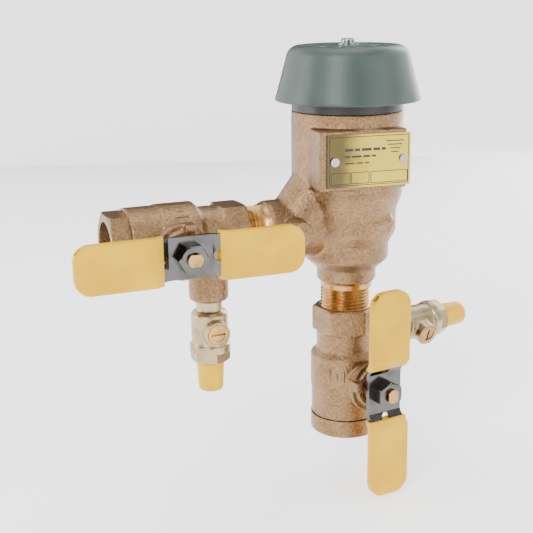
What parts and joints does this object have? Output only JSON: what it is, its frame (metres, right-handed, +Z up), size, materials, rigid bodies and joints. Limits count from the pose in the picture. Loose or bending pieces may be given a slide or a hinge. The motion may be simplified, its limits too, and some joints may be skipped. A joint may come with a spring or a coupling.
{
  "type": "backflow preventer",
  "caption": "Bronze pressure vacuum breaker with two quarter-turn ball valves, two test cocks, a sprung check and a sprung air inlet under a round canopy.",
  "frame": {"origin": "centre of the inlet port's end face", "axes": "+Z up the riser, the outlet points along -X, the handles face -Y"},
  "size_m": [0.2297, 0.079, 0.2298],
  "materials": {
    "cast_bronze": "sand cast, satin",
    "black_polymer": "moulded",
    "canopy_green": "moulded, satin",
    "steel": "bright",
    "nameplate_brass": "brushed sheet",
    "seal_rubber": "plain",
    "white_polymer": "moulded",
    "machined_brass": "turned",
    "ptfe": "plain",
    "chrome_ball": "polished",
    "stainless": "rolled sheet",
    "yellow_vinyl": "dipped vinyl",
    "cock_brass": "turned, pale"
  },
  "bodies": {
    "body": {"valve_body": "cast_bronze", "check_seat": "machined_brass", "nameplate": "nameplate_brass", "nameplate_rivets": "steel", "bonnet": "black_polymer", "bonnet_o_ring": "seal_rubber", "canopy": "canopy_green", "canopy_washer": "steel", "canopy_screw": "steel", "guide_cage": "white_polymer", "inlet_valve_case": "cast_bronze", "inlet_end_piece": "cast_bronze", "inlet_ball_seats": "ptfe", "inlet_thrust_washer": "ptfe", "inlet_packing": "ptfe", "inlet_gland_nut": "machined_brass", "inlet_cock_body": "cock_brass", "inlet_cock_end": "cock_brass", "inlet_cock_gland": "machined_brass", "outlet_valve_case": "cast_bronze", "outlet_end_piece": "cast_bronze", "outlet_ball_seats": "ptfe", "outlet_thrust_washer": "ptfe", "outlet_packing": "ptfe", "outlet_gland_nut": "machined_brass", "outlet_cock_body": "cock_brass", "outlet_cock_end": "cock_brass", "outlet_cock_gland": "machined_brass"},
    "check": {"check_poppet": "white_polymer", "check_seal": "seal_rubber", "check_screw": "steel", "check_spring": "steel"},
    "air_inlet": {"air_poppet": "white_polymer", "air_seal": "seal_rubber", "air_spring": "steel"},
    "inlet_handle": {"inlet_handle": "stainless", "inlet_stem": "machined_brass", "inlet_ball": "chrome_ball", "inlet_grip_inner": "yellow_vinyl", "inlet_grip_outer": "yellow_vinyl", "inlet_handle_nut": "stainless"},
    "inlet_cock_plug": {"inlet_cock_plug": "machined_brass"},
    "inlet_cock_cap": {"inlet_cock_cap": "yellow_vinyl"},
    "outlet_handle": {"outlet_handle": "stainless", "outlet_stem": "machined_brass", "outlet_ball": "chrome_ball", "outlet_grip_inner": "yellow_vinyl", "outlet_grip_outer": "yellow_vinyl", "outlet_handle_nut": "stainless"},
    "outlet_cock_plug": {"outlet_cock_plug": "machined_brass"},
    "outlet_cock_cap": {"outlet_cock_cap": "yellow_vinyl"}
  },
  "joints": [
    {"name": "inlet_handle_turn", "type": "hinge", "parent": "body", "child": "inlet_handle", "pos_m": [0, 0, 0.0308], "axis": [-0.1478, 0.989, 0], "range_deg": [0, 90]},
    {"name": "inlet_cock_plug_turn", "type": "hinge", "parent": "body", "child": "inlet_cock_plug", "pos_m": [0.04619, 0.0069, 0.0508], "axis": [0.1389, -0.9294, -0.342], "range_deg": [0, 90]},
    {"name": "inlet_cock_cap_pull", "type": "slide", "parent": "body", "child": "inlet_cock_cap", "axis": [0.989, 0.1478, 0], "range_m": [0, 0.014]},
    {"name": "outlet_handle_turn", "type": "hinge", "parent": "body", "child": "outlet_handle", "pos_m": [-0.0962, 0, 0.113], "axis": [0, 1, 0], "range_deg": [0, 90]},
    {"name": "outlet_cock_plug_turn", "type": "hinge", "parent": "body", "child": "outlet_cock_plug", "pos_m": [-0.0762, 0, 0.0663], "axis": [0, -1, 0], "range_deg": [0, 90]},
    {"name": "outlet_cock_cap_pull", "type": "slide", "parent": "body", "child": "outlet_cock_cap", "axis": [0, 0, -1], "range_m": [0, 0.014]},
    {"name": "check_lift", "type": "slide", "parent": "body", "child": "check", "axis": [0, 0, 1], "range_m": [0, 0.006], "stiffness_N_per_m": 300, "springref_m": -0.004, "deforming": ["check_spring"]},
    {"name": "air_inlet_close", "type": "slide", "parent": "body", "child": "air_inlet", "axis": [0, 0, 1], "range_m": [0, 0.005], "stiffness_N_per_m": 200, "springref_m": -0.003, "deforming": ["air_spring"]}
  ]
}
